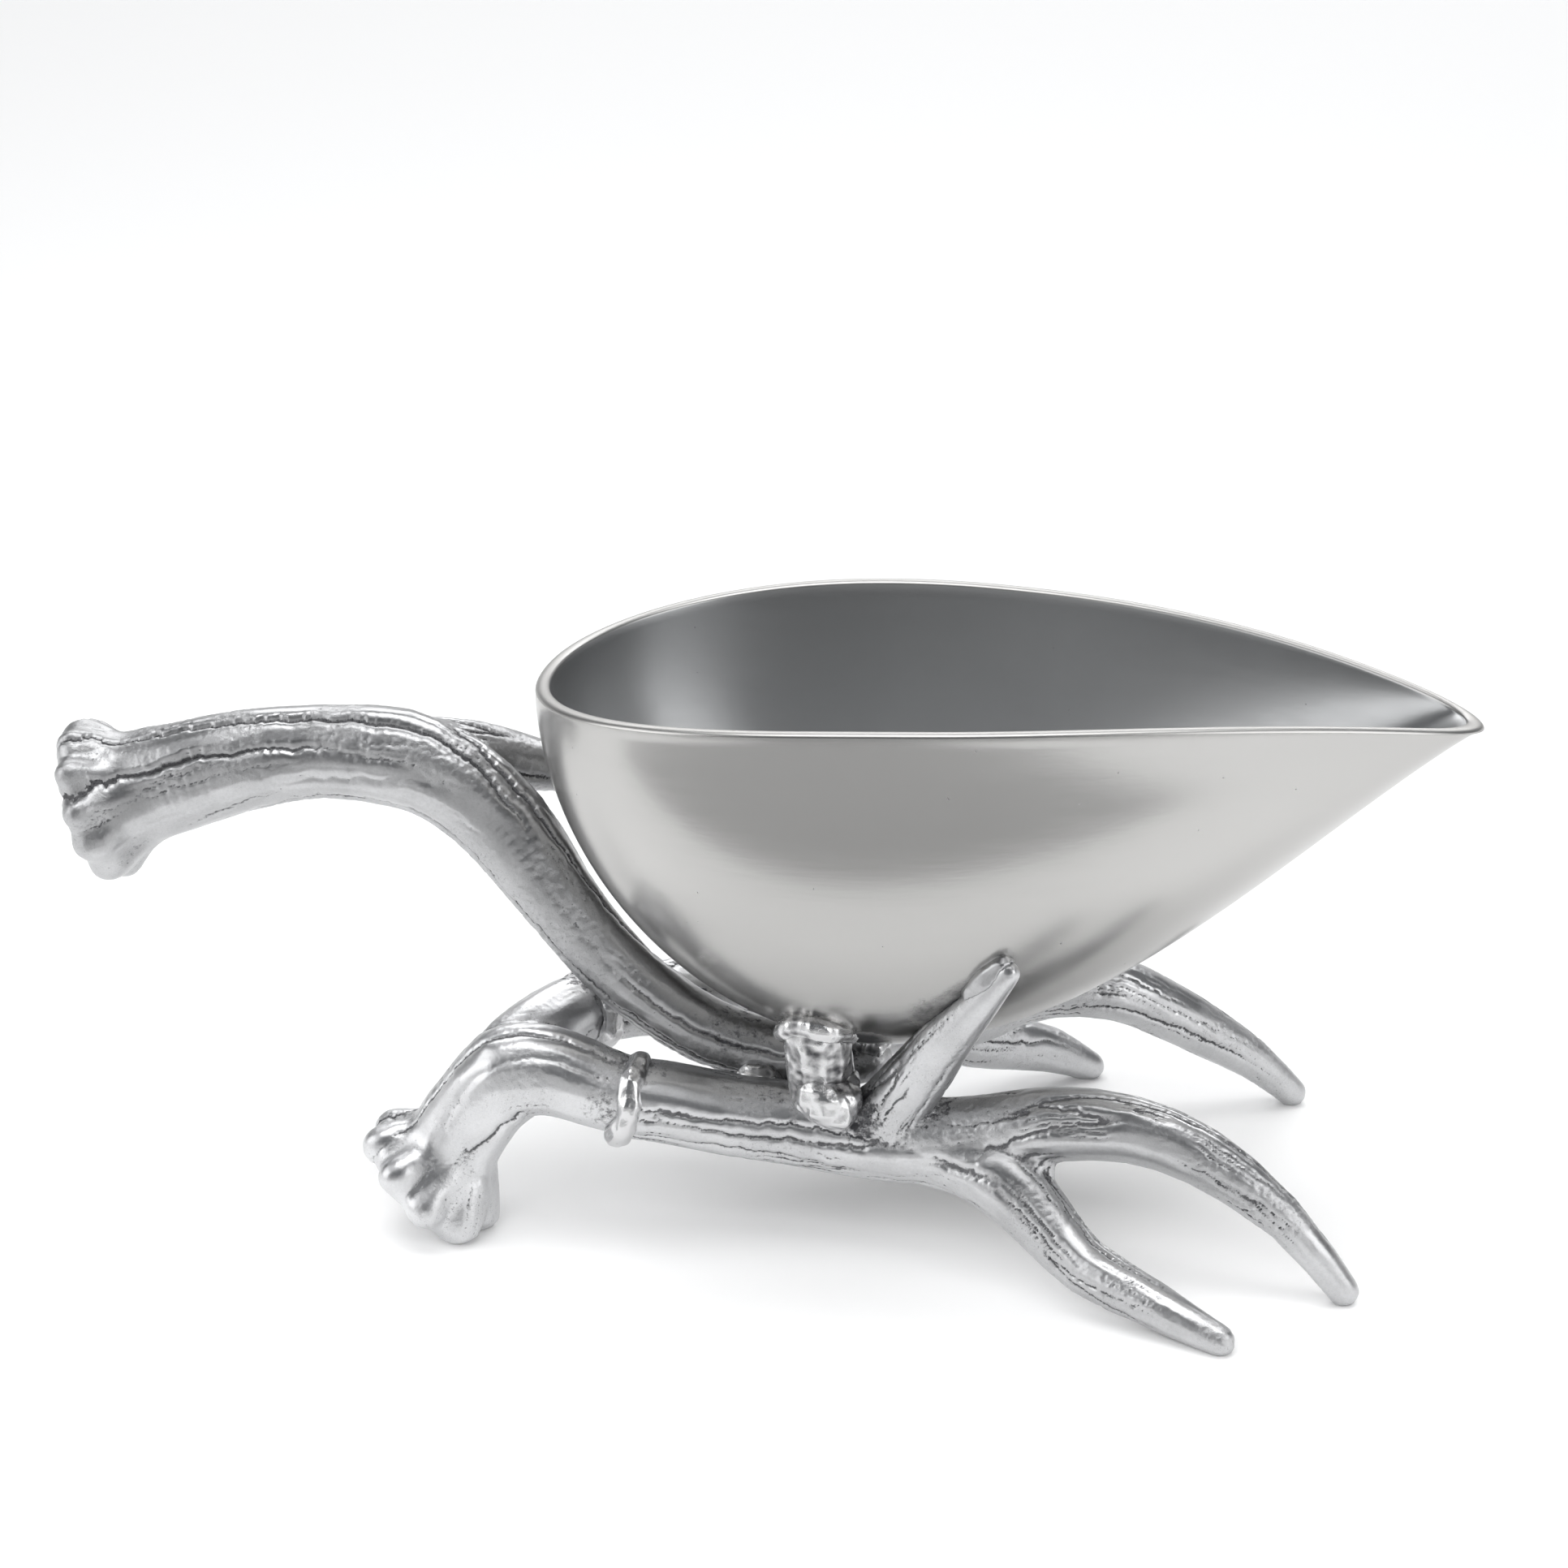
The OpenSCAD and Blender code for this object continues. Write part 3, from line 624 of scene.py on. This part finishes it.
def weld_finish(name, looks, clean):
    """Filler metal that ran and set: smooth and bright, with soot and painted shade at its edges.
    """
    material = bpy.data.materials.new(name)
    s = Shader(material)
    recess = s.attribute("recess")
    cloud, grain = s.noise(170, 4, 0.6), s.noise(1900, 2, 0.6)
    # Dark wash in hollows and random clouds, with weld soot and painted shade near the joins.
    dark = s.between(clean, clean + 0.8, recess * 0.8 + (cloud - 0.5) * 1.7
                     + s.attribute("soot_and_shade") * 0.25)
    tint = s.mix(dark, rgba(looks.weld), rgba(looks.patina_and_shade))
    relief = s.node("Bump", Strength=0.25, Distance=0.2 * MM, Height=grain)
    s.end(s.node("BsdfPrincipled", Base_Color=tint, Metallic=1 - dark * 0.4,
                 Roughness=0.26 + dark * 0.35, Normal=relief))
    return material


def bowl_finish(name, looks):
    """Satin aluminium: polished outside, brushed inside, dark where the antlers meet it from weld
    soot and painted shade.
    """
    material = bpy.data.materials.new(name)
    s = Shader(material)
    inside, soot_and_shade = s.attribute("inside"), s.attribute("soot_and_shade")
    cloud = s.noise(16, 3, 0.5)
    streak = s.noise(120, 3, 0.6, stretch=(0.25, 1.6, 3.2))
    brush = s.noise(900, 2, 0.5, stretch=(0.08, 1, 1))
    pit = s.between(0.80, 0.84, s.noise(620, 1, 0.4))
    outer = s.mix(cloud, rgba(looks.bowl, 0.96), rgba(looks.bowl, 1.02))
    inner = s.mix(s.between(0.3, 0.7, cloud), rgba(looks.inside, 0.93), rgba(looks.inside, 1.05))
    # Weld soot and painted shade round where the antlers meet the bowl.
    nook = s.between(0.28, 0.85, soot_and_shade + (s.noise(300, 5, 0.7) - 0.5) * 0.8)
    dark = (nook + pit * 0.35).clamp()
    tint = s.mix(dark, s.mix(inside, outer, inner), rgba(looks.patina_and_shade))
    rough = (looks.bowl_roughness + inside * (looks.inside_roughness - looks.bowl_roughness)
             + s.attribute("edge") * 0.2 + (streak - 0.5) * 0.10 + dark * 0.3)
    relief = s.node("Bump", Strength=0.12, Distance=0.15 * MM,
                    Height=brush * 0.5 + streak * 0.6 - pit * 1.5)
    s.end(s.node("BsdfPrincipled", Base_Color=tint, Metallic=1 - dark * 0.4, Roughness=rough,
                 Normal=relief))
    return material


# ---- Operators ----

class SAUCE_OT_bowl(bpy.types.Operator):
    """Make the teardrop bowl with its rounded lip"""
    bl_idname = "sauce.bowl"
    bl_label = "Bowl"

    def ring_edges(self, ring):
        """The edges that join a ring's points, in their order round the ring."""
        return [next(e for e in v.link_edges if e.other_vert(v) == after)
                for v, after in zip(ring, ring[1:] + ring[:1])]

    def sort_faces(self, bm):
        """Puts the faces in the order of their points: extruding leaves them in any order."""
        bm.verts.index_update()
        order = sorted(bm.faces, key=lambda face: sorted(v.index for v in face.verts))
        bm.faces.sort(key={face: i for i, face in enumerate(order)}.get)

    def execute(self, context):
        sizes, looks = context.scene.sauce_bowl, context.scene.sauce_finishes
        curves = BowlCurves(sizes)
        count = sizes.around
        turns = [i / count for i in range(count)]
        bm = bmesh.new()
        inside, edge = bm.verts.layers.float.new("inside"), bm.verts.layers.float.new("edge")
        first = bmesh.ops.create_circle(bm, segments=count, radius=0.01)["verts"]
        first.sort(key=lambda v: math.atan2(v.co.y, v.co.x) % (2 * math.pi))
        for v, turn in zip(first, turns):
            v.co = curves.skin(turn, 1, 0)
        rings = [(curves.skin, 1 - i / sizes.down, 0) for i in range(1, sizes.down + 1)]
        lip_steps = 8
        rings += [(curves.lip, i / lip_steps, 0) for i in range(1, lip_steps)]
        rings += [(curves.skin, i / sizes.down, 1) for i in range(sizes.down + 1)]
        last = first
        for maker, along, inset in rings:
            made = bmesh.ops.extrude_edge_only(bm, edges=self.ring_edges(last))["geom"]
            fresh = {v for v in made if isinstance(v, bmesh.types.BMVert)}
            ring = [next(e.other_vert(v) for e in v.link_edges if e.other_vert(v) in fresh)
                    for v in last]
            for v, turn in zip(ring, turns):
                v.co = maker(turn, along, inset) if maker == curves.skin else maker(turn, along)
                v[inside] = inset
                v[edge] = math.sin(math.pi * along) if maker == curves.lip else 0
            last = ring
        bmesh.ops.remove_doubles(bm, verts=bm.verts, dist=0.004 * MM)
        bmesh.ops.recalc_face_normals(bm, faces=bm.faces)
        self.sort_faces(bm)
        mesh = bpy.data.meshes.new("bowl_shell")
        bm.to_mesh(mesh)
        bm.free()
        mesh.shade_smooth()
        kept = np.zeros(len(mesh.vertices), np.float32)
        mesh.attributes["inside"].data.foreach_get("value", kept)
        # Weld soot and painted shade on the outside, where the antlers meet the bowl.
        store(mesh, "soot_and_shade", soot_and_shade_of(points_of(mesh), BOWL_SOOT_AND_SHADE) * (1 - kept))
        mesh.materials.append(bowl_finish("satin_aluminium", looks))
        finish_piece(bpy.data.objects.new("bowl_shell", mesh), "bowl_metal", "bowl")
        return {"FINISHED"}


class CastingOperator:
    """What the antler castings share."""

    def cast(self, context, *nodes):
        sizes, looks = context.scene.sauce_antlers, context.scene.sauce_finishes
        material = bpy.data.materials.get("antique_cast") or antler_finish("antique_cast", looks)
        for node in nodes:
            mesh = cast_mesh(node + "_cast", node, sizes.voxel, sizes.rounding)
            carve_bark(mesh, node, sizes)
            mesh.shade_smooth()
            mesh.materials.clear()
            mesh.materials.append(material)
            finish_piece(bpy.data.objects.new(node + "_cast", mesh), "antler_metal", node)
        return {"FINISHED"}


class SAUCE_OT_handle(CastingOperator, bpy.types.Operator):
    """Make the handle antler with its burr and its branch"""
    bl_idname = "sauce.handle"
    bl_label = "Handle"

    def execute(self, context):
        return self.cast(context, "handle_antler")


class SAUCE_OT_heel(CastingOperator, bpy.types.Operator):
    """Make the heel casting with its burr"""
    bl_idname = "sauce.heel"
    bl_label = "Heel"

    def execute(self, context):
        return self.cast(context, "heel_burr")


class SAUCE_OT_stand(CastingOperator, bpy.types.Operator):
    """Make the front and rear antlers of the stand"""
    bl_idname = "sauce.stand"
    bl_label = "Front and rear antlers"

    def execute(self, context):
        return self.cast(context, "front_antler", "rear_antler")


class SAUCE_OT_welds(bpy.types.Operator):
    """Make the lugs and the beads of filler metal"""
    bl_idname = "sauce.welds"
    bl_label = "Lugs and welds"

    def execute(self, context):
        sizes, looks = context.scene.sauce_antlers, context.scene.sauce_finishes
        filler = weld_finish("filler_metal", looks, 0.15)
        # A darker filler for the joins: soot and painted shade.
        soot_and_shade_weld = weld_finish("soot_and_shade_filler", looks, -0.2)
        cast = bpy.data.materials.get("antique_cast") or antler_finish("antique_cast", looks)
        for node in sorted(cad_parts):
            if not (node.startswith("weld_") or node.endswith("_lug")):
                continue
            mesh = cast_mesh(node + "_run", node, sizes.weld_voxel, 16)
            co, normal = points_of(mesh), points_of(mesh, "normal")
            lump = np.array([noise.noise(Vector(p) * 190) + 0.4 * noise.noise(Vector(p) * 480)
                             for p in co])
            swell = 0.25 if node.endswith("_tine") else 0.75
            set_points(mesh, co + normal * (0.2 * MM + swell * MM * lump)[:, None])
            store_recess(mesh, 14, 0.15 * MM)
            # Weld soot and painted shade where the welds meet the bowl and the castings.
            if not node.endswith("_tine"):
                store(mesh, "soot_and_shade", soot_and_shade_of(co, BOWL_SOOT_AND_SHADE + CASTING_SOOT_AND_SHADE))
            mesh.shade_smooth()
            mesh.materials.clear()
            # Welds at a butt or a foot are clean; the others get the darker filler, with soot and
            # painted shade.
            clean = node.endswith("_butt") or node.endswith("_foot")
            mesh.materials.append(cast if node.endswith("_tine") else filler if clean else soot_and_shade_weld)
            slot = "weld_metal" if node.startswith("weld_") else "antler_metal"
            finish_piece(bpy.data.objects.new(node + "_run", mesh), slot, node)
        return {"FINISHED"}


class SAUCE_OT_studio(bpy.types.Operator):
    """Make the floor, the lights and the camera"""
    bl_idname = "sauce.studio"
    bl_label = "Studio"

    def light(self, name, power, size, at, aim, mirrored=True):
        """A soft panel light that faces a point. Metal shows it where it is mirrored."""
        data = bpy.data.lights.new(name, "AREA")
        data.shape, data.size, data.size_y = "RECTANGLE", size[0], size[1]
        data.energy = power
        self.hang(name, data, at, aim).visible_glossy = mirrored

    def pool(self, name, power, spread, blend, size, at, aim):
        """A lamp that lights a pool of the floor."""
        data = bpy.data.lights.new(name, "SPOT")
        data.energy, data.spot_size, data.spot_blend = power, math.radians(spread), blend
        data.shadow_soft_size = size
        self.hang(name, data, at, aim)

    def hang(self, name, data, at, aim):
        """Places a light, hidden from the camera, and turns it to what it lights."""
        lamp = bpy.data.objects.new(name, data)
        lamp.location = at
        lamp.rotation_euler = (Vector(aim) - Vector(at)).to_track_quat("-Z", "Y").to_euler()
        lamp.visible_camera = False
        bpy.context.scene.collection.objects.link(lamp)
        return lamp

    def sheet(self, name, bm, paper, tint, roughness, grain):
        """A flat sheet of matt paper."""
        mesh = bpy.data.meshes.new(name)
        bm.to_mesh(mesh)
        bm.free()
        material = bpy.data.materials.new(paper)
        s = Shader(material)
        s.end(s.node("BsdfPrincipled", Base_Color=tint,
                     Roughness=roughness + s.noise(grain, 2, 0.5) * 0.1))
        mesh.materials.append(material)
        sheet = bpy.data.objects.new(name, mesh)
        bpy.context.scene.collection.objects.link(sheet)
        return sheet

    def make_sheets(self, studio):
        """The floor, and a grey card in front of the object that only the metal mirrors: a painted
        shade on the floor in front, seen only in reflections.
        """
        bm = bmesh.new()
        bmesh.ops.create_circle(bm, cap_ends=True, segments=96, radius=12)
        floor = self.sheet("floor", bm, "paper_sweep", rgba(studio.floor), 0.75, 40)

        bm = bmesh.new()
        bmesh.ops.create_grid(bm, x_segments=1, y_segments=1, size=0.5,
                              matrix=Matrix.Translation((-0.05, -0.72, 0.001))
                              @ Matrix.Diagonal((0.5, 1.16, 1, 1)))
        card = self.sheet("painted_shade_card", bm, "painted_shade_paper", (0.42, 0.42, 0.42, 1), 0.85, 60)
        # The card is painted shade: hidden from the camera, casting no shadow and lighting nothing,
        # it only darkens what the metal mirrors.
        card.visible_camera = card.visible_shadow = card.visible_diffuse = False

    def make_sky(self, scene):
        """The room around: bright at the horizon and dim overhead."""
        world = scene.world or bpy.data.worlds.new("studio")
        scene.world = world
        s = Shader(world)
        height = s.node("SeparateXYZ", output="Z", Vector=s.node("TexCoord", output="Generated"))
        stops = [(0.0, (0.8, 0.8, 0.8, 1)), (1.0, (0.14, 0.145, 0.152, 1))]
        sky = s.node("ValToRGB", {"stops": stops}, Fac=s.between(0.05, 0.30, height))
        s.end(s.node("Background", Color=sky, Strength=1.0), "OutputWorld")

    def make_lights(self):
        """Panels for the metal to mirror, and lamps for the floor."""
        self.light("left_panel", 5.5, (1.1, 0.9), (-1.15, -0.45, 0.62), (0, 0, 0))
        self.light("right_panel", 5, (0.9, 0.9), (1.15, -0.55, 0.62), (0, 0, 0))
        self.light("far_panel", 230, (6, 4), (0, 4.6, 3.2), (0, 4.6, 0))
        self.light("front_fill", 12, (1.4, 0.9), (0, -1.2, 0.8), (0, 0, 0), mirrored=False)
        self.pool("top_lamp", 150, 58, 0.3, 1.5, (0, 0.25, 1.9), (0, 0.60, 0))
        self.pool("left_pool", 62, 34, 1.0, 0.7, (-0.65, -0.15, 1.3), (-0.42, -0.10, 0))
        self.pool("right_pool", 56, 34, 1.0, 0.7, (0.65, -0.25, 1.3), (0.40, -0.26, 0))

    def make_camera(self, scene, studio):
        """The camera, turned to its target from its azimuth and elevation."""
        data = bpy.data.cameras.new("camera")
        data.lens, data.sensor_width = studio.lens, 36
        camera = bpy.data.objects.new("camera", data)
        a, e = studio.azimuth, studio.elevation
        back = Vector((math.sin(a) * math.cos(e), -math.cos(a) * math.cos(e), math.sin(e)))
        camera.location = Vector(studio.target) + back * studio.distance
        camera.rotation_euler = (-back).to_track_quat("-Z", "Y").to_euler()
        scene.collection.objects.link(camera)
        scene.camera = camera

    def execute(self, context):
        scene, studio = context.scene, context.scene.sauce_studio
        self.make_sheets(studio)
        self.make_sky(scene)
        self.make_lights()
        self.make_camera(scene, studio)
        scene.view_settings.view_transform = "Standard"
        return {"FINISHED"}


class SAUCE_PT_panel(bpy.types.Panel):
    """Sizes, finishes and the buttons that build the sauce boat"""
    bl_label = "Sauce Boat"
    bl_space_type = "VIEW_3D"
    bl_region_type = "UI"
    bl_category = "Sauce Boat"

    def draw(self, context):
        for title, group in GROUPS.items():
            box = self.layout.box()
            box.label(text=title)
            for name in group[1].__annotations__:
                box.prop(getattr(context.scene, group[0]), name)
        for operator in OPERATORS:
            self.layout.operator(operator.bl_idname)


GROUPS = {"Bowl": ("sauce_bowl", BowlSizes), "Antlers": ("sauce_antlers", AntlerSizes),
          "Finishes": ("sauce_finishes", Finishes), "Studio": ("sauce_studio", StudioSizes)}
OPERATORS = (SAUCE_OT_bowl, SAUCE_OT_handle, SAUCE_OT_heel, SAUCE_OT_stand, SAUCE_OT_welds,
             SAUCE_OT_studio)


def register():
    for attribute, group in GROUPS.values():
        bpy.utils.register_class(group)
        setattr(bpy.types.Scene, attribute, PointerProperty(type=group))
    for kind in (*OPERATORS, SAUCE_PT_panel):
        bpy.utils.register_class(kind)


def unregister():
    for kind in reversed((*OPERATORS, SAUCE_PT_panel)):
        bpy.utils.unregister_class(kind)
    for attribute, group in reversed(GROUPS.values()):
        delattr(bpy.types.Scene, attribute)
        bpy.utils.unregister_class(group)


def main():
    register()
    for operator in OPERATORS:
        family, name = operator.bl_idname.split(".")
        getattr(getattr(bpy.ops, family), name)()


if __name__ == "__main__":
    main()
